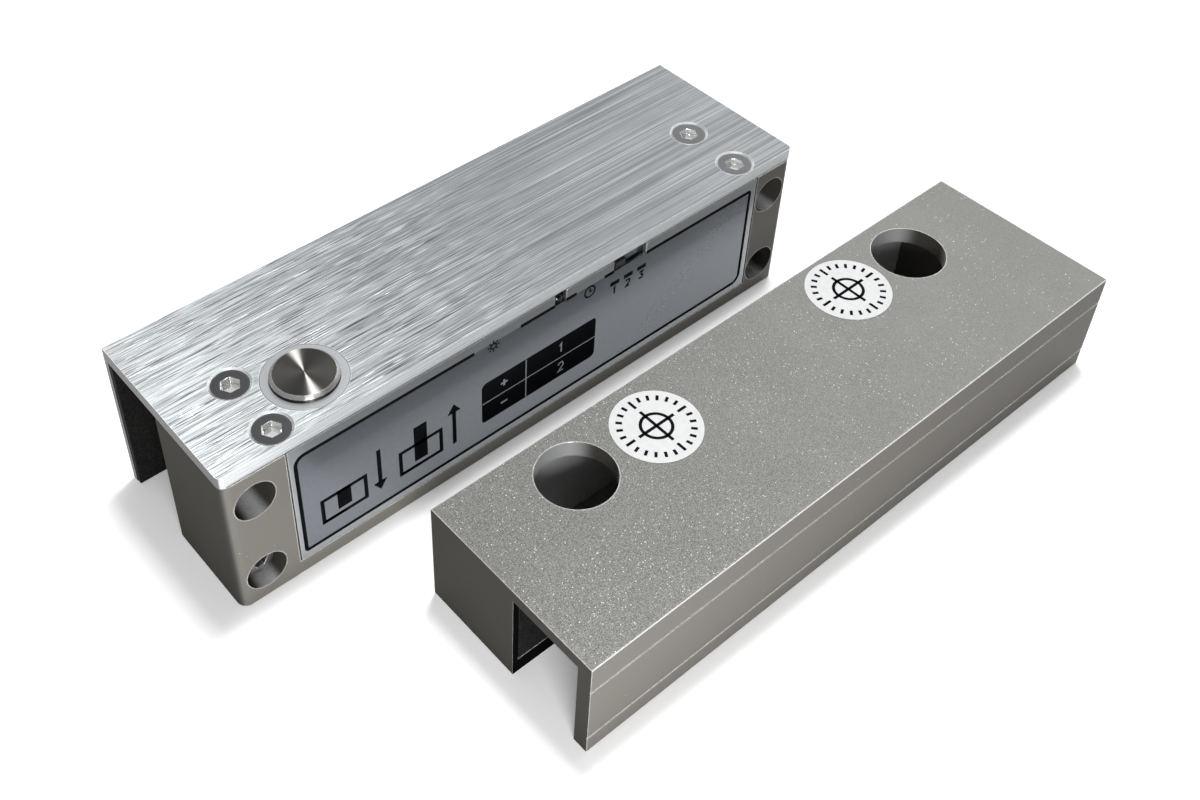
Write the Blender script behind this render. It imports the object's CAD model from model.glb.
# Looks of the electric drop-bolt lock for a glass door and of its strike unit.
# Metres, in the frame of the CAD: X along the units, Y from the strike to the lock, Z up.
import math

import bmesh
import bpy
from mathutils import Matrix, Vector


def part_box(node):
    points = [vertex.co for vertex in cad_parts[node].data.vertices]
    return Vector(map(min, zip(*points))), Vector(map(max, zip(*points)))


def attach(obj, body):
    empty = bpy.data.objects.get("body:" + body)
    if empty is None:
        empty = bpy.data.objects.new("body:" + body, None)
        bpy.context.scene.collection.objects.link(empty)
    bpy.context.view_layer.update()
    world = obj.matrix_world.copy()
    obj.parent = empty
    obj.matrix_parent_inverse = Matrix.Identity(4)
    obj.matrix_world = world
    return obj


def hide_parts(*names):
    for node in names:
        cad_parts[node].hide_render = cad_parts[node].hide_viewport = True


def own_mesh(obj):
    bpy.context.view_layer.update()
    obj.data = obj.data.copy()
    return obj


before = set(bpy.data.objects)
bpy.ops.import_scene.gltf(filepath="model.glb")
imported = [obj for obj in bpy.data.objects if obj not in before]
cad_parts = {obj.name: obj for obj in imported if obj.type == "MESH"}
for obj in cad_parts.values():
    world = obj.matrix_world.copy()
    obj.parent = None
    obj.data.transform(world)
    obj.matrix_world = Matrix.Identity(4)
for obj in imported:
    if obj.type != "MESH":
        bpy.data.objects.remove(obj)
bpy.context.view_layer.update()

MM = 0.001
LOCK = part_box("face_plate")[0].copy()
LOCK.z = 0.0
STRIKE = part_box("strike_housing")[0].copy()
LABEL_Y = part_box("front_label")[0].y
STRIKE_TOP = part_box("strike_housing")[1].z
FACE_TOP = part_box("face_plate")[1].z
LOCK_BOX_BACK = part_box("lock_housing")[1].y
STRIKE_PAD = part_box("strike_glass_pad")
# Half the band in which a flat wall is looked for, the flange's outer skin and the depth of the strike's bar
BAND = 0.1 * MM
SKIN = 1.0 * MM
STRIKE_BAR = 26.2 * MM
# Lined walls of the glass slots: from Y to Y, and the way along Y that they look
SLOT_FACES = {
    "face_plate": (LOCK_BOX_BACK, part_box("face_plate")[1].y - SKIN, -1),
    "lock_housing": (LOCK_BOX_BACK - BAND, LOCK_BOX_BACK + BAND, 1),
    "strike_housing": (STRIKE_PAD[0].y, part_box("strike_housing")[1].y - STRIKE_BAR, -1),
}
# Lowest lined wall above the floor
LINED_FROM = 3.0 * MM
# Bored places in mm from a unit's left front corner: the length of a unit, the holes of the lugs, the screws
# of the face plate with their sockets, and the pockets under the strike's bolt holes
UNIT_LENGTH = 170.0
LUG_HOLE_X, LUG_HOLE_HEIGHTS, LUG_HOLE_REACH, LUG_HOLE_DEPTHS = 7.2, (8.2, 31.9), 5.3, (0.3, 20.0)
SCREW_X, SCREW_ROWS, SOCKET_REACH, SOCKET_RIM = 16.0, (5.3, 21.5), 2.4, 0.45
PLATE_UNDERSIDE = 40.0
POCKET_ROWS, POCKET_MARGIN, POCKET_RIM = (26.0, 46.8), 1.0, 0.2


# Shader building

def join(tree, value, socket):
    """Sets a socket to a plain value, or links it to another node's output."""
    if isinstance(value, bpy.types.NodeSocket):
        tree.links.new(value, socket)
    else:
        socket.default_value = value


def put(tree, kind, sockets=None, **settings):
    """Adds a shader node with its settings, and with values or links on its sockets."""
    made = tree.nodes.new(kind)
    for name, value in settings.items():
        setattr(made, name, value)
    for name, value in (sockets or {}).items():
        join(tree, value, made.inputs[name])
    return made


def calc(tree, operation, first, second=0.0):
    return put(tree, "ShaderNodeMath", {0: first, 1: second}, operation=operation).outputs[0]


def spread(tree, value, low, high, to_low=0.0, to_high=1.0):
    """Maps a value smoothly from low..high to to_low..to_high, and holds it there."""
    sockets = {"Value": value, "From Min": low, "From Max": high, "To Min": to_low, "To Max": to_high}
    return put(tree, "ShaderNodeMapRange", sockets, interpolation_type="SMOOTHSTEP").outputs["Result"]


def mixed(tree, share, first, second):
    """Colour that goes from first to second with share."""
    made = put(tree, "ShaderNodeMix", {0: share, 6: first, 7: second}, data_type="RGBA")
    return made.outputs[2]


def shade(grey):
    """Colour of a grey level."""
    return (grey, grey, grey, 1.0)


def rgba(colour):
    return (*colour, 1.0)


def effect(name, inputs, outputs):
    """Empty node group with named inputs and outputs, all of them numbers."""
    group = bpy.data.node_groups.new(name, "ShaderNodeTree")
    for label, default in inputs.items():
        socket = group.interface.new_socket(label, in_out="INPUT", socket_type="NodeSocketFloat")
        socket.default_value = default
    for label in outputs:
        group.interface.new_socket(label, in_out="OUTPUT", socket_type="NodeSocketFloat")
    return group, group.nodes.new("NodeGroupInput").outputs, group.nodes.new("NodeGroupOutput").inputs


def place_in_mm(tree):
    """The point on the piece, in millimetres of the CAD frame."""
    where = put(tree, "ShaderNodeTexCoord").outputs["Object"]
    to_mm = (1 / MM, 1 / MM, 1 / MM)
    return put(tree, "ShaderNodeVectorMath", {0: where, 1: to_mm}, operation="MULTIPLY").outputs[0]


def split(tree, vector):
    """The X, Y and Z of a vector."""
    return put(tree, "ShaderNodeSeparateXYZ", {0: vector}).outputs


def facing(tree):
    """The way the surface looks, as X, Y and Z in the CAD frame."""
    return split(tree, put(tree, "ShaderNodeTexCoord").outputs["Normal"])


def agreement(tree, first, second):
    """Dot product of two directions."""
    return put(tree, "ShaderNodeVectorMath", {0: first, 1: second}, operation="DOT_PRODUCT").outputs["Value"]


def own_values(tree, name):
    """Values that are stored on a piece's mesh under a name."""
    return put(tree, "ShaderNodeAttribute", attribute_name=name).outputs


def stretched(tree, where, x, y, z):
    """Divides a place by a length along each axis."""
    size = put(tree, "ShaderNodeCombineXYZ", {0: x, 1: y, 2: z}).outputs[0]
    return put(tree, "ShaderNodeVectorMath", {0: where, 1: size}, operation="DIVIDE").outputs[0]


def noise(tree, where, scale=1.0, detail=2.0, roughness=0.5):
    return put(tree, "ShaderNodeTexNoise", {"Vector": where, "Scale": scale, "Detail": detail,
               "Roughness": roughness}).outputs["Fac"]


# Where the short cuts of the brush start and stop fading along X in mm, and their strength at both
CUTS_FADE = (-88.0, 20.0, 1.6, 0.08)
# Layers of long brush lines: length and width as multiples of the effect's own, and share of the tone
LONG_LINES = ((3.2, 1.1, 0.25), (2.2, 3.0, 0.08), (5.0, 9.0, 0.07))
LONG_SCRATCH_SHARE = 0.30


def brush_lines():
    """Hairlines that run straight along X, with lines that fade in and out over softer bands."""
    group, given, out = effect("brush_lines", {"Length": 24.0, "Width": 0.2}, ["Tone", "Height", "Scratch"])
    where = place_in_mm(group)

    def layer(length, width, low, high, detail=1.0):
        wide = calc(group, "MULTIPLY", given["Width"], width)
        place = stretched(group, where, calc(group, "MULTIPLY", given["Length"], length), wide, wide)
        return spread(group, noise(group, place, detail=detail), low, high)

    def weighed(value, share, middle=0.5):
        return calc(group, "MULTIPLY", calc(group, "SUBTRACT", value, middle), share)

    strength = spread(group, split(group, where)["X"], *CUTS_FADE)
    shown = layer(0.9, 2.2, 0.36, 0.58)
    gaps = layer(0.42, 1.15, 0.36, 0.47, 0.0)
    cuts = calc(group, "MULTIPLY", calc(group, "SUBTRACT", 1.0, gaps), shown)
    hairs = weighed(layer(0.7, 0.8, 0.30, 0.70, 0.0), 0.42, 0.25)
    short = calc(group, "SUBTRACT", hairs, calc(group, "MULTIPLY", cuts, 0.55))
    tone = calc(group, "ADD", calc(group, "MULTIPLY", short, strength), 0.55)
    for length, width, share in LONG_LINES:
        tone = calc(group, "ADD", tone, weighed(layer(length, width, 0.32, 0.68, 0.0), share))
    join(group, tone, out["Tone"])
    join(group, tone, out["Height"])
    lit = calc(group, "MULTIPLY", calc(group, "MULTIPLY", layer(0.35, 0.8, 0.60, 0.72, 0.0), shown), strength)
    long = calc(group, "MULTIPLY", layer(2.6, 1.2, 0.64, 0.76, 0.0), LONG_SCRATCH_SHARE)
    join(group, calc(group, "MAXIMUM", lit, long), out["Scratch"])
    return group


# Blasted tops, from X to X in mm: the share of grain and facets, and the tone
GRAIN_FADE = (-60.0, 90.0, 1.0, 0.4)
TONE_LEAN = (-80.0, 80.0, 0.36, 0.66)
# Share of the facets that are lit: everywhere, and on top of that inside the patches
FACETS_LIT, FACETS_LIT_IN_PATCH = 0.015, 0.06


def blast_grain():
    """Even fine grain of blasted metal with small bright facets on the faces that look up."""
    group, given, out = effect("blast_grain", {"Grain": 0.25, "Sparkle": 0.5}, ["Tone", "Height", "Scratch"])
    where = place_in_mm(group)
    fine = noise(group, stretched(group, where, given["Grain"], given["Grain"], given["Grain"]), detail=3)
    cell = calc(group, "MULTIPLY", given["Grain"], 1.2)
    facets = put(group, "ShaderNodeTexVoronoi", {"Vector": stretched(group, where, cell, cell, cell),
                                                 "Scale": 1.0}).outputs
    drawn = put(group, "ShaderNodeSeparateColor", {0: facets["Color"]}).outputs
    chance, spark = drawn[0], drawn[1]
    near = spread(group, facets["Distance"], 0.52, 0.22)
    patch = spread(group, noise(group, where, scale=0.09, detail=2), 0.38, 0.66)
    along = split(group, where)["X"]
    level = spread(group, facing(group)["Z"], 0.2, 0.9, 0.04, 1.0)
    upward = calc(group, "MULTIPLY", level, spread(group, along, *GRAIN_FADE))
    lean = calc(group, "MULTIPLY", level, spread(group, along, *TONE_LEAN))
    middle = calc(group, "ADD", lean, calc(group, "MULTIPLY", calc(group, "SUBTRACT", 1.0, level), 0.5))
    share = calc(group, "ADD", calc(group, "MULTIPLY", patch, FACETS_LIT_IN_PATCH), FACETS_LIT)
    share = calc(group, "MULTIPLY", calc(group, "MULTIPLY", given["Sparkle"], upward), share)
    lit = calc(group, "GREATER_THAN", chance, calc(group, "SUBTRACT", 1.0, share))
    shown = calc(group, "MULTIPLY", calc(group, "SUBTRACT", spread(group, fine, 0.33, 0.67), 0.5), upward)
    join(group, calc(group, "ADD", shown, middle), out["Tone"])
    join(group, calc(group, "MULTIPLY", calc(group, "SUBTRACT", fine, 0.5), upward), out["Height"])
    glow = spread(group, spark, 0.0, 1.0, 0.45, 1.0)
    join(group, calc(group, "MULTIPLY", calc(group, "MULTIPLY", lit, near), glow), out["Scratch"])
    return group


def turned_rings():
    """Fine rings of the lathe round a piece's own axis, from its stored offset."""
    group, given, out = effect("turned_rings", {"Pitch": 0.2}, ["Tone", "Height", "Scratch"])
    offset = own_values(group, "turned")["Vector"]
    radius = put(group, "ShaderNodeVectorMath", {0: offset}, operation="LENGTH").outputs["Value"]
    rings = calc(group, "DIVIDE", radius, given["Pitch"])
    line = put(group, "ShaderNodeCombineXYZ", {0: rings}).outputs[0]
    value = noise(group, line, detail=2)
    join(group, spread(group, value, 0.3, 0.7), out["Tone"])
    join(group, value, out["Height"])
    join(group, spread(group, value, 0.66, 0.8), out["Scratch"])
    return group


# The way from a turned face's centre to the sectors that catch the light
GLINT_WAY = (-0.228, -0.974, 0.0)


def turned_glint():
    """The two opposite sectors of a turned face in which its rings catch the light."""
    group, given, out = effect("turned_glint", {"Narrow": 0.96}, ["Mask"])
    offset = own_values(group, "turned")["Vector"]
    outward = put(group, "ShaderNodeVectorMath", {0: offset}, operation="NORMALIZE").outputs[0]
    turn = calc(group, "ABSOLUTE", agreement(group, outward, GLINT_WAY))
    join(group, spread(group, turn, given["Narrow"], 1.0), out["Mask"])
    return group


def moulded_skin():
    """Soft orange-peel of moulded rubber, plastic and film."""
    group, given, out = effect("moulded_skin", {"Grain": 0.6}, ["Tone", "Height", "Scratch"])
    where = place_in_mm(group)
    value = noise(group, stretched(group, where, given["Grain"], given["Grain"], given["Grain"]), detail=4)
    dust = noise(group, where, scale=4.0, detail=2)
    join(group, spread(group, value, 0.3, 0.7), out["Tone"])
    join(group, value, out["Height"])
    join(group, spread(group, dust, 0.68, 0.8), out["Scratch"])
    return group


def hand_marks():
    """Large soft patches where the surface was handled."""
    group, given, out = effect("hand_marks", {"Size": 18.0}, ["Tone"])
    where = stretched(group, place_in_mm(group), given["Size"], given["Size"], given["Size"])
    join(group, spread(group, noise(group, where, detail=3, roughness=0.6), 0.35, 0.68), out["Tone"])
    return group


def rubbed_edge():
    """Outer edges that are rubbed bright, broken by noise, with the chamfers along the top."""
    group, given, out = effect("rubbed_edge", {"Width": 0.5, "Chamfer": 0.0}, ["Mask"])
    soft = put(group, "ShaderNodeBevel", {"Radius": calc(group, "MULTIPLY", given["Width"], MM)}, samples=4)
    flat = put(group, "ShaderNodeNewGeometry").outputs["True Normal"]
    edge = spread(group, agreement(group, soft.outputs[0], flat), 0.995, 0.86)
    broken = spread(group, noise(group, place_in_mm(group), scale=1.4, detail=3), 0.3, 0.6, 0.45, 1.0)
    height = facing(group)["Z"]
    slope = calc(group, "MULTIPLY", spread(group, height, 0.2, 0.42), spread(group, height, 0.97, 0.88))
    slope = calc(group, "MULTIPLY", slope, given["Chamfer"])
    join(group, calc(group, "MAXIMUM", calc(group, "MULTIPLY", edge, broken), slope), out["Mask"])
    return group


def cut_end():
    """Share of the surface that faces along X, where the bar was sawn to length."""
    group, given, out = effect("cut_end", {"Upward": 0.0}, ["Mask"])
    look = facing(group)
    above = calc(group, "MULTIPLY", calc(group, "MAXIMUM", look["Z"], 0.0), given["Upward"])
    sideways = calc(group, "ADD", calc(group, "ABSOLUTE", look["X"]), above)
    join(group, spread(group, sideways, 0.55, 0.95), out["Mask"])
    return group


def front_side():
    """Share of the surface that faces the front: all of it, and fading in towards the right end."""
    group, _, out = effect("front_side", {}, ["Left", "Right"])
    front = spread(group, facing(group)["Y"], -0.6, -0.95)
    right = spread(group, split(group, place_in_mm(group))["X"], -80.0, 80.0)
    join(group, front, out["Left"])
    join(group, calc(group, "MULTIPLY", front, right), out["Right"])
    return group


EFFECTS = {build.__name__: build() for build in
           (brush_lines, blast_grain, turned_rings, moulded_skin, hand_marks, rubbed_edge, cut_end,
            front_side, turned_glint)}


def used(tree, name, **values):
    """Places one of the shared effects in a material, with its own values."""
    made = put(tree, "ShaderNodeGroup", node_tree=EFFECTS[name])
    for label, value in values.items():
        made.inputs[label.title()].default_value = value
    return made.outputs


# How much smoother scratches, rubbed edges and bored walls are than the rest, and how much duller a lining is
SCRATCH_POLISH, EDGE_POLISH, BORED_POLISH, LINING_DULL = 0.12, 0.10, 0.10, 0.3
# Metallic share of a sawn end, and of a rubbed chamfer as a part of the finish's own
END_METAL, CHAMFER_METAL = 0.1, 0.3
FINISHES = {}


def add_finish(name, dark, light, grain, roughness, bump, metal=0.0, edge=None, bright=None, marks=0.3,
               ends=None, front=None, inner=None, bored=None, glint=None, coat=0.0, shader=None):
    """Makes the material of one finish.

    dark and light are the colours between which the grain wanders, grain is an effect with its values,
    roughness its lowest and highest value, bump its strength and depth in mm, edge the width in mm and the
    colour of rubbed edges, and how much of it the chamfers get, bright the colour of scratches or facets,
    marks the share of the large patches in the tone, ends the colour of sawn ends and how far it reaches onto
    their chamfers, front the colours of the front faces from left to right, inner the colour of the lined
    faces of the glass slots, bored the colour and metallic share of bored holes and sockets, glint the colour
    where turned rings catch the light, and shader any further values of the shader.
    """
    material = bpy.data.materials.new(name)
    material.use_nodes = True
    tree = material.node_tree
    principled = tree.nodes["Principled BSDF"]
    kind, values = grain
    lines = used(tree, kind, **values)
    patches = used(tree, "hand_marks")["Tone"]
    tone = calc(tree, "ADD", calc(tree, "MULTIPLY", lines["Tone"], 1 - marks),
                calc(tree, "MULTIPLY", patches, marks))
    colour = mixed(tree, tone, rgba(dark), rgba(light))
    rough = spread(tree, tone, 0.0, 1.0, roughness[1], roughness[0])
    if glint:
        colour = mixed(tree, used(tree, "turned_glint")["Mask"], colour, rgba(glint))
    if front:
        side = used(tree, "front_side")
        colour = mixed(tree, side["Left"], colour, rgba(front[0]))
        colour = mixed(tree, side["Right"], colour, rgba(front[1]))
    if bright:
        colour = mixed(tree, lines["Scratch"], colour, rgba(bright))
        rough = calc(tree, "SUBTRACT", rough, calc(tree, "MULTIPLY", lines["Scratch"], SCRATCH_POLISH))
    shine = metal
    if edge:
        width, rubbed_colour, chamfer = edge if len(edge) > 2 else (*edge, 0.0)
        rubbed = used(tree, "rubbed_edge", width=width, chamfer=chamfer)["Mask"]
        colour = mixed(tree, rubbed, colour, rgba(rubbed_colour))
        rough = calc(tree, "SUBTRACT", rough, calc(tree, "MULTIPLY", rubbed, EDGE_POLISH))
        if chamfer:
            shine = spread(tree, rubbed, 0.0, 1.0, metal, metal * CHAMFER_METAL)
    if bored:
        cut = own_values(tree, "machined")["Fac"]
        colour = mixed(tree, cut, colour, rgba(bored[0]))
        rough = calc(tree, "SUBTRACT", rough, calc(tree, "MULTIPLY", cut, BORED_POLISH))
        shine = spread(tree, cut, 0.0, 1.0, shine, bored[1])
    if ends:
        sawn = used(tree, "cut_end", upward=ends[1])["Mask"]
        colour = mixed(tree, sawn, colour, rgba(ends[0]))
        shine = spread(tree, sawn, 0.0, 1.0, shine, END_METAL)
    if inner:
        hidden = own_values(tree, "inner")["Fac"]
        colour = mixed(tree, hidden, colour, rgba(inner))
        rough = calc(tree, "ADD", rough, calc(tree, "MULTIPLY", hidden, LINING_DULL))
        shine = spread(tree, hidden, 0.0, 1.0, shine, 0.0)
    relief = put(tree, "ShaderNodeBump", {"Strength": bump[0], "Distance": bump[1] * MM,
                                          "Height": lines["Height"]})
    join(tree, colour, principled.inputs["Base Color"])
    join(tree, rough, principled.inputs["Roughness"])
    join(tree, relief.outputs[0], principled.inputs["Normal"])
    join(tree, shine, principled.inputs["Metallic"])
    principled.inputs["Coat Weight"].default_value = coat
    for label, value in (shader or {}).items():
        principled.inputs[label].default_value = value
    FINISHES[name] = material


add_finish(
    "brushed_aluminium", (0.055, 0.058, 0.060), (0.465, 0.486, 0.494),
    ("brush_lines", {"length": 24.0, "width": 0.2}), (0.36, 0.44), (0.40, 0.035), metal=1.0,
    edge=(0.35, (0.93, 0.95, 0.96), 1.0), bright=(0.90, 0.93, 0.94), marks=0.06,
    ends=((0.20, 0.20, 0.195), 0.0), inner=(0.008, 0.008, 0.008), bored=((0.80, 0.83, 0.85), 0.30),
    shader={"Anisotropic": 0.8, "Anisotropic Rotation": 0.25, "Specular IOR Level": 0.15})
add_finish(
    "blasted_aluminium", (0.125, 0.1245, 0.116), (0.308, 0.309, 0.292),
    ("blast_grain", {"grain": 0.24, "sparkle": 0.95}), (0.36, 0.48), (0.45, 0.06), metal=0.32,
    edge=(0.5, (0.95, 0.94, 0.92), 0.9), bright=(1.0, 1.0, 0.98), marks=0.06,
    ends=((0.072, 0.068, 0.060), 0.35), front=((0.240, 0.228, 0.206), (0.165, 0.157, 0.144)),
    inner=(0.005, 0.005, 0.005), bored=((0.80, 0.81, 0.81), 0.5),
    shader={"Specular IOR Level": 0.0})
add_finish(
    "cover_metal", (0.45, 0.46, 0.46), (0.62, 0.63, 0.64), ("brush_lines", {"length": 9.0, "width": 0.2}),
    (0.32, 0.42), (0.25, 0.03), metal=0.9, edge=(0.4, (0.97, 0.98, 0.98)), marks=0.2)
add_finish(
    "stainless", (0.34, 0.335, 0.32), (0.52, 0.515, 0.50), ("turned_rings", {"pitch": 0.16}),
    (0.16, 0.28), (0.25, 0.03), metal=1.0, edge=(0.5, (0.9, 0.9, 0.88)), marks=0.1)
add_finish(
    "bolt_steel", (0.085, 0.082, 0.076), (0.105, 0.101, 0.094), ("turned_rings", {"pitch": 0.09}),
    (0.30, 0.32), (0.05, 0.005), metal=1.0, edge=(0.3, (0.88, 0.88, 0.87), 0.45), marks=0.05,
    glint=(0.24, 0.235, 0.225),
    shader={"Anisotropic": 1.0, "Anisotropic Rotation": 0.25})
add_finish(
    "dark_steel", (0.20, 0.20, 0.195), (0.36, 0.36, 0.35), ("turned_rings", {"pitch": 0.25}),
    (0.24, 0.36), (0.25, 0.03), metal=1.0, edge=(0.4, (0.88, 0.88, 0.86)), marks=0.25)
add_finish(
    "clamp_steel", (0.016, 0.016, 0.016), (0.032, 0.032, 0.031),
    ("blast_grain", {"grain": 0.3, "sparkle": 0.1}), (0.42, 0.55), (0.2, 0.03), metal=0.4,
    edge=(0.25, (0.06, 0.06, 0.06)), marks=0.2)
add_finish(
    "screw_steel", (0.08, 0.082, 0.083), (0.155, 0.158, 0.16), ("turned_rings", {"pitch": 0.12}),
    (0.24, 0.34), (0.2, 0.02), metal=1.0, edge=(0.3, (0.90, 0.91, 0.91), 0.6), marks=0.2,
    bored=((0.90, 0.90, 0.89), 0.8))
add_finish(
    "bush_steel", (0.40, 0.42, 0.43), (0.50, 0.52, 0.53), ("blast_grain", {"grain": 0.3, "sparkle": 0.1}),
    (0.34, 0.44), (0.2, 0.03), metal=0.9, edge=(0.25, (0.62, 0.64, 0.65)), marks=0.1)
add_finish(
    "zinc_steel", (0.42, 0.44, 0.46), (0.62, 0.64, 0.66), ("blast_grain", {"grain": 0.8, "sparkle": 0.2}),
    (0.30, 0.46), (0.2, 0.05), metal=1.0, edge=(0.4, (0.8, 0.82, 0.84)), marks=0.35)
add_finish(
    "label_film", (0.31, 0.325, 0.34), (0.33, 0.345, 0.36), ("moulded_skin", {"grain": 1.2}),
    (0.24, 0.27), (0.01, 0.01), metal=0.55, edge=(0.35, (0.80, 0.83, 0.86)), marks=0.3, coat=0.3)
add_finish(
    "label_blue", (0.148, 0.163, 0.183), (0.155, 0.170, 0.191), ("moulded_skin", {"grain": 1.2}),
    (0.25, 0.26), (0.01, 0.004), metal=0.6, marks=0.0, coat=0.25)
add_finish(
    "black_rubber", (0.006, 0.006, 0.006), (0.016, 0.016, 0.015), ("moulded_skin", {"grain": 0.7}),
    (0.6, 0.8), (0.4, 0.06), edge=(0.3, (0.016, 0.016, 0.016)), shader={"Specular IOR Level": 0.1})
add_finish(
    "nylon", (0.66, 0.64, 0.58), (0.80, 0.78, 0.71), ("moulded_skin", {"grain": 0.9}),
    (0.38, 0.5), (0.3, 0.05), edge=(0.4, (0.88, 0.86, 0.80)))
add_finish(
    "enamelled_copper", (0.42, 0.16, 0.06), (0.66, 0.30, 0.12),
    ("brush_lines", {"length": 0.35, "width": 6.0}), (0.2, 0.34), (0.6, 0.12), metal=0.8,
    marks=0.15, coat=0.6)
add_finish(
    "board_green", (0.012, 0.085, 0.035), (0.03, 0.17, 0.075), ("moulded_skin", {"grain": 2.5}),
    (0.22, 0.34), (0.35, 0.06), edge=(0.4, (0.45, 0.42, 0.25)), coat=0.3)
add_finish(
    "black_plastic", (0.010, 0.010, 0.011), (0.024, 0.024, 0.025), ("moulded_skin", {"grain": 0.3}),
    (0.32, 0.45), (0.3, 0.04), edge=(0.3, (0.07, 0.07, 0.07)), bright=(0.08, 0.08, 0.08))
add_finish(
    "relay_blue", (0.015, 0.028, 0.055), (0.03, 0.055, 0.095), ("moulded_skin", {"grain": 0.5}),
    (0.3, 0.42), (0.25, 0.04), edge=(0.4, (0.12, 0.15, 0.2)))
add_finish(
    "terminal_green", (0.03, 0.17, 0.08), (0.05, 0.26, 0.13), ("moulded_skin", {"grain": 0.5}),
    (0.34, 0.46), (0.25, 0.04), edge=(0.4, (0.2, 0.4, 0.28)))
add_finish(
    "lamp_dark", (0.010, 0.011, 0.012), (0.022, 0.024, 0.025), ("moulded_skin", {"grain": 1.5}),
    (0.06, 0.14), (0.05, 0.02), coat=0.8)
add_finish(
    "reed_glass", (0.10, 0.22, 0.16), (0.20, 0.36, 0.27), ("moulded_skin", {"grain": 1.5}),
    (0.05, 0.12), (0.05, 0.02), coat=0.8)
add_finish(
    "magnet_nickel", (0.55, 0.54, 0.52), (0.72, 0.71, 0.69), ("moulded_skin", {"grain": 1.0}),
    (0.08, 0.16), (0.05, 0.02), metal=1.0, edge=(0.3, (0.9, 0.9, 0.88)))
add_finish(
    "disc_white", (0.62, 0.635, 0.63), (0.68, 0.695, 0.69), ("moulded_skin", {"grain": 1.6}),
    (0.18, 0.26), (0.04, 0.03), edge=(0.25, (0.97, 0.97, 0.97)), coat=0.25)
add_finish(
    "ink_black", (0.006, 0.0065, 0.008), (0.010, 0.011, 0.013), ("moulded_skin", {"grain": 0.4}),
    (0.50, 0.60), (0.1, 0.02), shader={"Specular IOR Level": 0.0})
add_finish(
    "ink_silver", (0.20, 0.215, 0.23), (0.30, 0.32, 0.34), ("moulded_skin", {"grain": 0.4}),
    (0.28, 0.40), (0.1, 0.02))


# Mesh building

def turned_offsets(mesh, centres, axis):
    """Stores on each point its offset in mm from the nearest of the axes through centres."""
    stored = mesh.attributes.new("turned", "FLOAT_VECTOR", "POINT")
    for index, vertex in enumerate(mesh.vertices):
        arms = [vertex.co - centre for centre in centres]
        offsets = [arm - arm.dot(axis) * axis for arm in arms]
        stored.data[index].vector = min(offsets, key=lambda offset: offset.length) / MM


def islands(mesh):
    """Centres of the separate solids in a mesh."""
    parent = list(range(len(mesh.vertices)))

    def root(i):
        while parent[i] != i:
            parent[i] = parent[parent[i]]
            i = parent[i]
        return i

    for edge in mesh.edges:
        parent[root(edge.vertices[0])] = root(edge.vertices[1])
    groups = {}
    for vertex in mesh.vertices:
        groups.setdefault(root(vertex.index), []).append(vertex.co)
    return [(Vector(map(min, zip(*points))) + Vector(map(max, zip(*points)))) / 2
            for points in groups.values()]


def in_slot(name, face):
    """Whether a face of a shell looks into its glass slot, where it is lined in black."""
    low, high, way = SLOT_FACES.get(name, (0.0, 0.0, 0))
    inside = low - BAND < face.center.y < high + BAND and face.center.z > LINED_FROM
    return way and inside and (face.normal.y * way > 0.9 or face.normal.z < -0.9)


def machined(name, face):
    """Whether a face is cut bright: in a hole, a pocket or a screw's socket, or on the plate's front edge."""
    place = (face.center - (STRIKE if name == "strike_housing" else LOCK)) / MM
    end = min(place.x, UNIT_LENGTH - place.x)
    if name == "lock_housing":
        off = min(math.hypot(end - LUG_HOLE_X, place.z - z) for z in LUG_HOLE_HEIGHTS)
        return off < LUG_HOLE_REACH and LUG_HOLE_DEPTHS[0] < place.y < LUG_HOLE_DEPTHS[1]
    if name == "strike_housing":
        inside = end > POCKET_MARGIN and POCKET_ROWS[0] < place.y < POCKET_ROWS[1]
        return inside and POCKET_MARGIN < place.z < STRIKE_TOP / MM - POCKET_RIM
    if name == "face_plate":
        return face.normal.y < -0.7 and place.y < SKIN / MM
    if name == "face_plate_screws":
        off = min(math.hypot(end - SCREW_X, place.y - y) for y in SCREW_ROWS)
        return off < SOCKET_REACH and PLATE_UNDERSIDE < place.z < FACE_TOP / MM - SOCKET_RIM
    return False


def mark_faces(mesh, name):
    """Stores on the faces which of them are lined and which are cut bright."""
    for label, test in (("inner", in_slot), ("machined", machined)):
        if any(test(name, face) for face in mesh.polygons):
            stored = mesh.attributes.new(label, "FLOAT", "FACE")
            for face in mesh.polygons:
                stored.data[face.index].value = float(bool(test(name, face)))


def brush_along_x(mesh):
    """Moves the centre of the texture space far off in Y, so the grain of the metal runs straight along X."""
    mesh.use_auto_texspace = False
    mesh.texspace_location = (0.0, -10.0, 0.0)
    mesh.texspace_size = (10.0, 10.0, 10.0)


def smooth_with_sharp_edges(mesh, angle):
    for face in mesh.polygons:
        face.use_smooth = True
    mesh.set_sharp_from_angle(angle=math.radians(angle))


def settle(piece, body, slot, *nodes):
    """Gives a new piece its body, its slot and the CAD solids that it stands for."""
    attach(piece, body)
    if nodes:
        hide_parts(*nodes)
    return piece


def new_piece(name, mesh, material):
    piece = bpy.data.objects.new(name, mesh)
    bpy.context.scene.collection.objects.link(piece)
    mesh.materials.clear()
    mesh.materials.append(material)
    return piece


# Length under which an edge is part of a hole's rim, height at top and bottom where edges are broken in full,
# and the share on the edges between
RIM_EDGE, FULL_EDGES, BETWEEN_SHARE = 2.2 * MM, 2.0 * MM, 0.3


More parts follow.
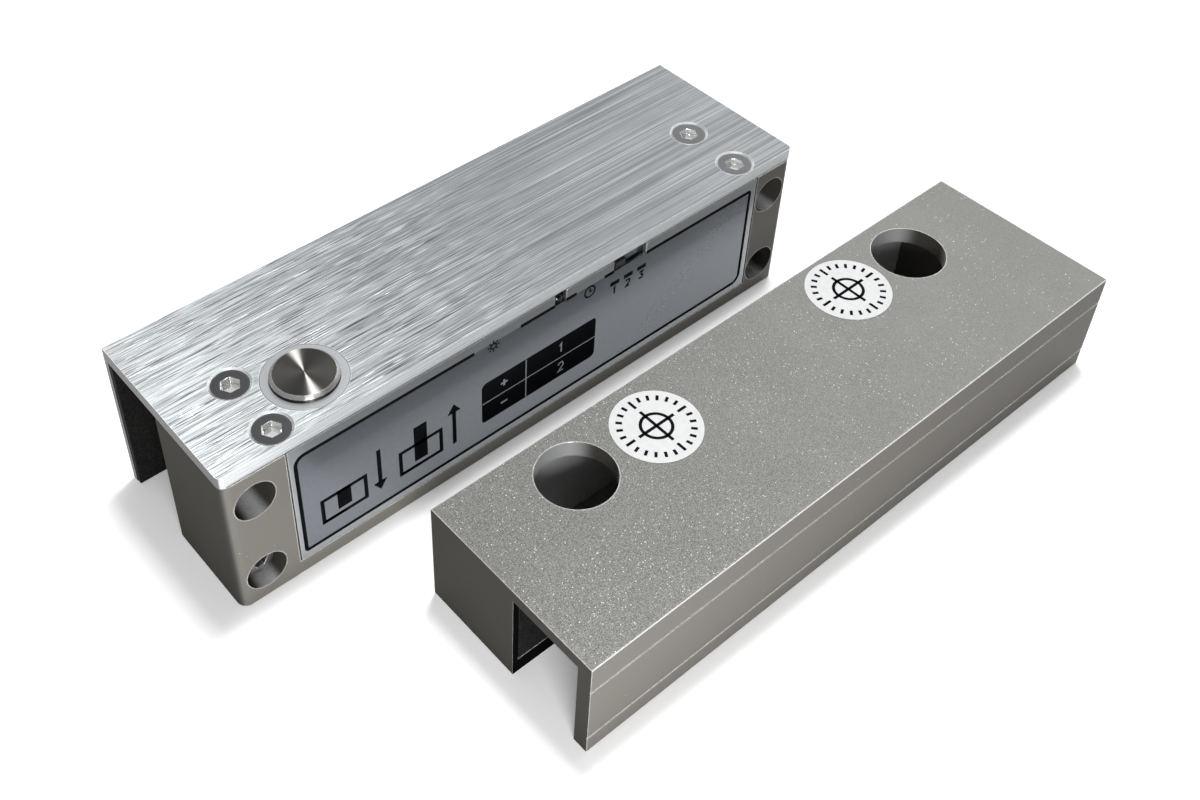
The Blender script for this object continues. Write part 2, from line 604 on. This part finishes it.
def weigh_edges(source, angle, rim, low, high):
    """Marks the edges to break: straight ones in full, the short ones round holes by the share rim, and those
    between the heights low and high, such as the edges of grooves, by less."""
    weights = source.edges.layers.float.new("bevel_weight_edge")
    for edge in source.edges:
        if len(edge.link_faces) == 2 and edge.calc_face_angle(0.0) > math.radians(angle):
            between = all(low + FULL_EDGES < vertex.co.z < high - FULL_EDGES for vertex in edge.verts)
            edge[weights] = rim if edge.calc_length() < RIM_EDGE else BETWEEN_SHARE if between else 1.0


# Distance within which points of the CAD mesh are one, angle in degrees under which its faces are one, and
# how near an end a point is to be trimmed
WELD, FLAT, AT_END = 0.002 * MM, 0.4, 0.05 * MM


def broken_edges(name, node, body, slot, width, angle=32, axis=(0, 0, 1), material=None, rim=1.0, trim=0.0):
    """The CAD solid with clean faces, its edges broken by width in mm, its two ends trimmed by trim in mm."""
    source = bmesh.new()
    source.from_mesh(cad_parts[node].data)
    bmesh.ops.remove_doubles(source, verts=source.verts, dist=WELD)
    bmesh.ops.dissolve_limit(source, angle_limit=math.radians(FLAT), verts=source.verts, edges=source.edges)
    low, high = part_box(node)
    for vertex in source.verts:
        if trim and vertex.co.x < low.x + AT_END:
            vertex.co.x += trim * MM
        elif trim and vertex.co.x > high.x - AT_END:
            vertex.co.x -= trim * MM
    weigh_edges(source, angle, rim, low.z, high.z)
    mesh = bpy.data.meshes.new(name)
    source.to_mesh(mesh)
    source.free()
    smooth_with_sharp_edges(mesh, angle)
    turned_offsets(mesh, islands(mesh), Vector(axis))
    mark_faces(mesh, node)
    if slot == "brushed_aluminium":
        brush_along_x(mesh)
    piece = new_piece(name, mesh, material or FINISHES[slot])
    if width:
        bevel = piece.modifiers.new("broken_edge", "BEVEL")
        bevel.width = width * MM
        bevel.segments = 2
        bevel.limit_method = "WEIGHT"
        flat = piece.modifiers.new("flat_faces", "WEIGHTED_NORMAL")
        flat.keep_sharp = True
        flat.weight = 100
    return settle(piece, body, slot, node)


# Pieces of the two units

PLAIN_NODES = {
    "black_rubber": ["cable_grommet"],
    "enamelled_copper": ["solenoid_coil"],
    "board_green": ["circuit_board"],
    "zinc_steel": ["cam_plate", "solenoid_frame", "delay_switch_case"],
    "stainless": ["plunger_pin", "spring_collar", "solenoid_screws", "board_screws", "cover_screws"],
    "dark_steel": ["bolt_pin", "plunger", "pole_piece"],
    "nylon": ["solenoid_bobbin", "left_magnet_holder", "right_magnet_holder"],
    "reed_glass": ["position_sensor"],
    "relay_blue": ["relay", "capacitor"],
    "black_plastic": ["driver_chip"],
    "terminal_green": ["wire_terminal"],
    "magnet_nickel": ["left_magnet", "right_magnet"],
    "lamp_dark": ["indicator_lamp"],
}
# Node, body, slot and width in mm of the broken edges
BROKEN = [
    ("face_plate", "lock_body", "brushed_aluminium", 0.42),
    ("lock_housing", "lock_body", "blasted_aluminium", 0.25),
    ("front_cover", "lock_body", "blasted_aluminium", 0.1),
    ("front_label", "lock_body", "label_film", 0.06),
    ("lock_glass_pad", "lock_body", "black_rubber", 0.2),
    ("bolt", "bolt_group", "stainless", 0.12),
    ("bolt_guide_bush", "lock_body", "bush_steel", 0.05),
    ("face_plate_screws", "lock_body", "dark_steel", 0.15),
    ("delay_switch_slider", "switch_slider", "black_plastic", 0.15),
    ("left_clamp_plate", "left_clamp", "stainless", 0.2),
    ("left_clamp_pad", "left_clamp", "black_rubber", 0.2),
    ("left_clamp_screws", "left_clamp", "dark_steel", 0.2),
    ("right_clamp_plate", "right_clamp", "stainless", 0.2),
    ("right_clamp_pad", "right_clamp", "black_rubber", 0.2),
    ("right_clamp_screws", "right_clamp", "dark_steel", 0.2),
    ("strike_housing", "strike_body", "blasted_aluminium", 1.0),
    ("strike_base", "strike_body", "blasted_aluminium", 0.2),
    ("strike_base_screws", "strike_body", "stainless", 0.1),
    ("strike_glass_pad", "strike_body", "black_rubber", 0.2),
    ("left_position_disc", "strike_body", "disc_white", 0.04),
    ("right_position_disc", "strike_body", "disc_white", 0.04),
    ("strike_left_clamp_plate", "strike_left_clamp", "stainless", 0.2),
    ("strike_left_clamp_pad", "strike_left_clamp", "black_rubber", 0.2),
    ("strike_left_clamp_screw", "strike_left_clamp", "dark_steel", 0.2),
    ("strike_right_clamp_plate", "strike_right_clamp", "stainless", 0.2),
    ("strike_right_clamp_pad", "strike_right_clamp", "black_rubber", 0.2),
    ("strike_right_clamp_screw", "strike_right_clamp", "dark_steel", 0.2),
]
# Pieces whose look isn't their slot's own, share of the bevel on rims of holes, and trim of the ends in mm
OWN_FINISH = {"bolt": "bolt_steel", "face_plate_screws": "screw_steel", "front_cover": "cover_metal",
              "left_clamp_plate": "clamp_steel", "right_clamp_plate": "clamp_steel",
              "strike_left_clamp_plate": "clamp_steel", "strike_right_clamp_plate": "clamp_steel"}
RIM_SHARE = {"face_plate": 0.3, "strike_housing": 0.5, "lock_housing": 0.8}
END_TRIM = {"front_cover": 0.3, "front_label": 0.3}


def dress_inner_nodes():
    for slot, nodes in PLAIN_NODES.items():
        for node in nodes:
            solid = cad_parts[node]
            solid.data.materials.clear()
            solid.data.materials.append(FINISHES[slot])


def dress_outer_nodes():
    for node, body, slot, width in BROKEN:
        axis = (0, 1, 0) if "clamp_screw" in node else (0, 0, 1)
        broken_edges(f"{node}_finished", node, body, slot, width, axis=axis, rim=RIM_SHARE.get(node, 1.0),
                     trim=END_TRIM.get(node, 0.0), material=FINISHES.get(OWN_FINISH.get(node)))


def wind_return_spring():
    """The return spring, which shortens towards its seat as the plunger pushes its collar along."""
    spring = broken_edges("return_spring_wound", "return_spring", "lock_body", "stainless", 0.0,
                          angle=80, axis=(1, 0, 0))
    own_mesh(spring)


# Printing on the label and the discs, in mm: on the label from the lock's left lower corner

INK = 0.04 * MM
FIELD_INK, LINE_INK = INK * 0.5, INK * 0.6


def flat_solid(name, outlines, to_frame, material, thickness=INK):
    """Thin solid of several outlines drawn in mm on a plane; to_frame turns (u, v, height) into a place."""
    work = bmesh.new()
    for outline in outlines:
        low = [work.verts.new(to_frame(u, v, 0.0)) for u, v in outline]
        high = [work.verts.new(to_frame(u, v, thickness)) for u, v in outline]
        work.faces.new(list(reversed(low)))
        work.faces.new(high)
        for i in range(len(outline)):
            j = (i + 1) % len(outline)
            work.faces.new((low[i], low[j], high[j], high[i]))
    bmesh.ops.recalc_face_normals(work, faces=work.faces)
    mesh = bpy.data.meshes.new(name)
    work.to_mesh(mesh)
    work.free()
    return new_piece(name, mesh, material)


def on_label(u, v, height):
    return Vector((LOCK.x + u * MM, LABEL_Y - height, v * MM))


def stroke(points, width):
    """Outlines of the bars that join the points, mitred at each corner."""
    sides = []
    for i, point in enumerate(points):
        here = Vector(point)
        back = (here - Vector(points[i - 1])).normalized() if i else None
        on = (Vector(points[i + 1]) - here).normalized() if i + 1 < len(points) else None
        way = ((back or on) + (on or back)).normalized()
        across = Vector((-way.y, way.x))
        reach = width / 2 / max(0.3, across.dot(Vector((-(on or back).y, (on or back).x))))
        sides.append((here + across * reach, here - across * reach))
    return [[sides[i][0], sides[i][1], sides[i + 1][1], sides[i + 1][0]] for i in range(len(sides) - 1)]


def arc(cx, cy, radius, start, end, steps):
    turns = [math.radians(start + (end - start) * i / steps) for i in range(steps + 1)]
    return [(cx + radius * math.cos(t), cy + radius * math.sin(t)) for t in turns]


def rounded_box(x0, y0, x1, y1, radii):
    """Outline of a box whose corner radii are given from the lower left, anticlockwise."""
    corners = [(x0, y0, 1, 1, 180), (x1, y0, -1, 1, 270), (x1, y1, -1, -1, 0), (x0, y1, 1, -1, 90)]
    outline = []
    for (x, y, sx, sy, start), r in zip(corners, radii):
        outline += arc(x + sx * r, y + sy * r, r, start, start + 90, 6) if r else [(x, y)]
    return outline


def digits(mark, height, x, y, weight=0.16):
    """Outlines of a plain numeral or sign, drawn as strokes in a box of the given height centred on x, y."""
    half, wide, thin = height / 2, height * 0.28, height * weight / 2
    shapes = {
        "1": [[(-wide * 0.7, half * 0.55), (0.0, half), (0.0, -half)]],
        "2": [[(-wide, half * 0.55), (-wide * 0.6, half), (wide * 0.6, half), (wide, half * 0.55),
               (wide, half * 0.2), (-wide, -half), (wide, -half)]],
        "3": [[(-wide, half), (wide, half), (0.0, half * 0.15), (wide, -half * 0.25), (wide, -half * 0.65),
               (wide * 0.5, -half), (-wide * 0.6, -half), (-wide, -half * 0.7)]],
        "+": [[(-wide, 0.0), (wide, 0.0)], [(0.0, wide), (0.0, thin)], [(0.0, -thin), (0.0, -wide)]],
        "-": [[(-wide, 0.0), (wide, 0.0)]],
    }
    found = []
    for line in shapes[mark]:
        found += stroke([Vector((x, y)) + Vector(point) for point in line], height * weight)
    return found


LABEL_LINE = 0.95
LABEL_BOX = (17.4, 6.5, 155.0, 37.1)
LABEL_RADII = (0.7, 2.4, 0.7, 2.4)
TOP_LINE_PARTS = [(20.9, 65.4), (79.0, 89.5), (92.9, 96.1), (105.0, 108.0), (118.8, 152.0)]
TABLE = (67.4, 12.3, 102.9, 25.3)
TABLE_RADII = (0.9, 1.5, 0.9, 1.5)
TABLE_COLUMN = 80.8
TABLE_LINE, TABLE_MARGIN = 0.32, 0.2
BOLT_SIGNS = ((22.6, False), (43.8, True))
BOLT_SIGN_Z, BOLT_SIGN_SIZE, BOLT_SIGN_LINE, ARROW_LINE = 12.0, 11.5, 1.0, 1.1
LAMP_SIGN, CLOCK_SIGN = (71.0, 36.0), (100.4, 35.2)
FINE_LINE = 0.42
SWITCH_PLACES = (("1", 108.6), ("2", 113.0), ("3", 117.4))
SWITCH_BAR_Z, SWITCH_BAR_HALF, SWITCH_BAR_LINE = 33.2, 1.45, 1.25
SWITCH_DIGIT_Z, SWITCH_DIGIT_HEIGHT, SWITCH_DIGIT_WEIGHT = 30.7, 2.1, 0.24


def label_border():
    """The line round the label, open at the top where the lamp and the switch stand."""
    x0, z0, x1, z1 = LABEL_BOX
    outline = rounded_box(x0, z0, x1, z1, LABEL_RADII)
    start = outline.index(max(outline, key=lambda p: (p[1] > z1 - 0.01) * 1000 - p[0]))
    path = outline[start:] + outline[:start]
    shapes = stroke([(TOP_LINE_PARTS[0][1], z1)] + path + [(TOP_LINE_PARTS[-1][0], z1)], LABEL_LINE)
    for left, right in TOP_LINE_PARTS[1:-1]:
        shapes += stroke([(left, z1), (right, z1)], LABEL_LINE)
    return shapes


def bolt_sign(x, z, size, shot):
    """Plain sign of a box with its bolt drawn in or shot out, and an arrow beside it."""
    w, h = size, size * 0.62
    box = [(x, z), (x + w, z), (x + w, z + h), (x, z + h), (x, z), (x + w * 0.5, z)]
    shapes = stroke(box, BOLT_SIGN_LINE)
    left, right, foot = x + w * 0.34, x + w * 0.66, z + h * 0.22
    top = z + h + (size * 0.5 if shot else 0.5)
    shapes.append([(left, foot), (right, foot), (right, top), (left, top)])
    arrow, low, high = x + w + size * 0.34, z - 0.4, z + h + size * 0.5
    tip, tail, way = (high, low, 1) if shot else (low, high, -1)
    shapes += stroke([(arrow, tail), (arrow, tip - way * 2.4)], ARROW_LINE)
    shapes.append([(arrow - 1.9, tip - way * 2.8), (arrow + 1.9, tip - way * 2.8), (arrow, tip)])
    return shapes


def ray(x, y, turn, start, end, width):
    """Stroke that points away from x, y at a turn in degrees, between two distances."""
    t = math.radians(turn)
    return stroke([(x + r * math.cos(t), y + r * math.sin(t)) for r in (start, end)], width)


def lamp_sign(x, z):
    """Plain sign of a lamp: a ring with short rays."""
    shapes = stroke(arc(x, z, 0.8, 0, 360, 16), 0.45)
    for i in range(8):
        shapes += ray(x, z, 45 * i, 1.15, 1.75, FINE_LINE)
    return shapes


def clock_sign(x, z):
    """Plain sign of a clock face for the delay switch."""
    shapes = stroke(arc(x, z, 1.6, 0, 360, 24), 0.5)
    shapes += stroke([(x, z + 1.1), (x, z), (x + 0.85, z)], FINE_LINE)
    return shapes


def table_lines():
    """Lines between the fields of the table, and the plain marks in the fields."""
    x0, z0, x1, z1 = TABLE
    middle = (z0 + z1) / 2
    left, right = TABLE_COLUMN - TABLE_LINE / 2, TABLE_COLUMN + TABLE_LINE / 2
    shapes = stroke([(x0 + TABLE_MARGIN, middle), (left, middle)], TABLE_LINE)
    shapes += stroke([(right, middle), (x1 - TABLE_MARGIN, middle)], TABLE_LINE)
    shapes += stroke([(TABLE_COLUMN, z0 + TABLE_MARGIN), (TABLE_COLUMN, z1 - TABLE_MARGIN)], TABLE_LINE)
    for upper, lower, height, side in (("+", "-", 3.6, x0), ("1", "2", 2.8, x1)):
        for mark, edge in ((upper, z1), (lower, z0)):
            shapes += digits(mark, height, (side + TABLE_COLUMN) / 2, (middle + edge) / 2)
    return shapes


def print_label():
    def over_ink(u, v, height):
        return on_label(u, v, height + INK)

    outline = [rounded_box(*LABEL_BOX, LABEL_RADII)]
    field = flat_solid("label_field", outline, on_label, FINISHES["label_blue"], FIELD_INK)
    settle(field, "lock_body", "label_film")
    shapes = label_border()
    for x, shot in BOLT_SIGNS:
        shapes += bolt_sign(x, BOLT_SIGN_Z, BOLT_SIGN_SIZE, shot)
    shapes += lamp_sign(*LAMP_SIGN) + clock_sign(*CLOCK_SIGN)
    for number, x in SWITCH_PLACES:
        bar = [(x - SWITCH_BAR_HALF, SWITCH_BAR_Z), (x + SWITCH_BAR_HALF, SWITCH_BAR_Z)]
        shapes += stroke(bar, SWITCH_BAR_LINE)
        shapes += digits(number, SWITCH_DIGIT_HEIGHT, x, SWITCH_DIGIT_Z, SWITCH_DIGIT_WEIGHT)
    ink = flat_solid("label_print", shapes, on_label, FINISHES["ink_black"])
    settle(ink, "lock_body", "black_plastic")
    table = flat_solid("label_table", [rounded_box(*TABLE, TABLE_RADII)], on_label, FINISHES["ink_black"])
    settle(table, "lock_body", "black_plastic")
    lines = flat_solid("label_table_lines", table_lines(), over_ink, FINISHES["ink_silver"], LINE_INK)
    settle(lines, "lock_body", "label_film")


DISC_RAYS, LONG_RAY_EACH, DISC_RAY_LINE, DISC_LINE = 24, 6, 0.7, 0.75


def print_disc(name, node):
    """Ring of short strokes round a circle and a cross, that mark where the sensor stands."""
    low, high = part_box(node)
    centre = (low + high) / 2
    radius = (high.x - low.x) / 2 / MM

    def on_disc(u, v, height):
        return Vector((centre.x + u * MM, centre.y + v * MM, high.z + height))

    shapes = []
    for i in range(DISC_RAYS):
        start = radius * (0.62 if i % LONG_RAY_EACH == 0 else 0.72)
        shapes += ray(0, 0, i * 360 / DISC_RAYS, start, radius * 0.86, DISC_RAY_LINE)
    shapes += stroke(arc(0, 0, radius * 0.34, 0, 360, 32), DISC_LINE)
    reach = radius * 0.5
    shapes += stroke([(-reach, 0), (reach, 0)], DISC_LINE) + stroke([(0, -reach), (0, reach)], DISC_LINE)
    settle(flat_solid(name, shapes, on_disc, FINISHES["ink_black"]), "strike_body", "black_plastic")


# Floor, light and camera

FLOOR_HALF, FLOOR_Z = 6.0, -0.2 * MM
# Grey of the floor as it lights the pieces and as it is seen, and the glow of the seen one
FLOOR_LIGHT_GREY, FLOOR_SEEN_GREY, FLOOR_GLOW = 0.82, 0.97, 0.2
# Level of the room from low to overhead
ROOM_LEVELS = (0.1, 0.9, 0.52, 0.34)
# Lobes of the room: direction, cosines where the lobe starts and is full, and what it adds to the level
ROOM_LOBES = (((0.76, 0.28, 0.58), 0.78, 1.0, 1.7), ((0.55, -0.80, 0.25), 0.0, 0.85, -0.48),
              ((-0.97, 0.24, 0.0), 0.3, 1.0, -0.22))
ROOM_BLUE = 1.015
# Softboxes: name, place, aim, width, height and watts
SOFTBOXES = (("overhead_softbox", (0.16, -0.12, 1.35), (0.0, 0.0, 0.0), 0.8, 0.7, 1.8),
             ("ceiling_strip", (0.175, 0.12, 1.32), (-0.07, 0.02, 0.0), 0.13, 0.22, 10.0),
             ("front_softbox", (-0.22, -0.30, 0.16), (-0.07, -0.03, 0.02), 0.14, 0.12, 0.85))
# Azimuth, elevation and roll in degrees, place, sensor width and focal length in mm, and shift of the picture
CAMERA_ANGLES = (-39.61, 41.33, -0.05)
CAMERA_PLACE = (-0.17789, -0.16706, 0.27140)
SENSOR_WIDTH, FOCAL_LENGTH, PICTURE_SHIFT = 36.0, 43.74, (0.0833, -0.1333)
NEAREST_SEEN = 0.01


def lay_floor():
    """Flat pale floor under both units."""
    mesh = bpy.data.meshes.new("floor")
    corners = [(x * FLOOR_HALF, y * FLOOR_HALF, FLOOR_Z) for x, y in ((-1, -1), (1, -1), (1, 1), (-1, 1))]
    mesh.from_pydata(corners, [], [(0, 1, 2, 3)])
    material = bpy.data.materials.new("pale_floor")
    material.use_nodes = True
    tree = material.node_tree
    principled = tree.nodes["Principled BSDF"]
    path = put(tree, "ShaderNodeLightPath").outputs
    mirrored = calc(tree, "MAXIMUM", path["Is Glossy Ray"], path["Is Transmission Ray"])
    seen = calc(tree, "MAXIMUM", path["Is Camera Ray"], mirrored)
    grey = mixed(tree, seen, shade(FLOOR_LIGHT_GREY), shade(FLOOR_SEEN_GREY))
    join(tree, grey, principled.inputs["Base Color"])
    principled.inputs["Roughness"].default_value = 1.0
    principled.inputs["Specular IOR Level"].default_value = 0.0
    principled.inputs["Emission Color"].default_value = shade(1.0)
    join(tree, calc(tree, "MULTIPLY", seen, FLOOR_GLOW), principled.inputs["Emission Strength"])
    new_piece("floor", mesh, material)


def light_dome():
    """Room that is dimmer overhead, in front and on the left, and brighter at the back on the right."""
    world = bpy.data.worlds.new("soft_room")
    world.use_nodes = True
    bpy.context.scene.world = world
    tree = world.node_tree
    way = put(tree, "ShaderNodeTexCoord").outputs["Generated"]
    level = spread(tree, split(tree, way)["Z"], *ROOM_LEVELS)
    for toward, start, full, added in ROOM_LOBES:
        level = calc(tree, "ADD", level, spread(tree, agreement(tree, way, toward), start, full, 0.0, added))
    blue = calc(tree, "MULTIPLY", level, ROOM_BLUE)
    colour = put(tree, "ShaderNodeCombineColor", {0: level, 1: level, 2: blue}).outputs[0]
    background = tree.nodes["Background"]
    join(tree, colour, background.inputs["Color"])
    background.inputs["Strength"].default_value = 1.0


def softbox(name, place, aim, width, height, watts):
    """Rectangular lamp at a place that points at aim."""
    light = bpy.data.lights.new(name, "AREA")
    light.shape = "RECTANGLE"
    light.size, light.size_y = width, height
    light.energy = watts
    lamp = bpy.data.objects.new(name, light)
    bpy.context.scene.collection.objects.link(lamp)
    lamp.location = place
    lamp.rotation_mode = "QUATERNION"
    lamp.rotation_quaternion = (Vector(aim) - Vector(place)).to_track_quat("-Z", "Y")


def set_camera():
    """Camera at the photograph's viewing angle, worked out from the corners of both units."""
    azimuth, elevation, roll = (math.radians(angle) for angle in CAMERA_ANGLES)
    level = math.cos(elevation)
    back = Vector((math.sin(azimuth) * level, -math.cos(azimuth) * level, math.sin(elevation)))
    right = Vector((0, 0, 1)).cross(back).normalized()
    up = back.cross(right)
    turned_right = math.cos(roll) * right + math.sin(roll) * up
    turned_up = math.cos(roll) * up - math.sin(roll) * right
    data = bpy.data.cameras.new("camera")
    data.sensor_width = SENSOR_WIDTH
    data.lens = FOCAL_LENGTH
    data.shift_x, data.shift_y = PICTURE_SHIFT
    data.clip_start = NEAREST_SEEN
    camera = bpy.data.objects.new("camera", data)
    bpy.context.scene.collection.objects.link(camera)
    turn = Matrix((turned_right, turned_up, back)).transposed().to_4x4()
    camera.matrix_world = Matrix.Translation(CAMERA_PLACE) @ turn
    bpy.context.scene.camera = camera


dress_inner_nodes()
dress_outer_nodes()
wind_return_spring()
print_label()
print_disc("left_disc_print", "left_position_disc")
print_disc("right_disc_print", "right_position_disc")
lay_floor()
light_dome()
for settings in SOFTBOXES:
    softbox(*settings)
set_camera()
bpy.context.scene.view_settings.view_transform = "Standard"
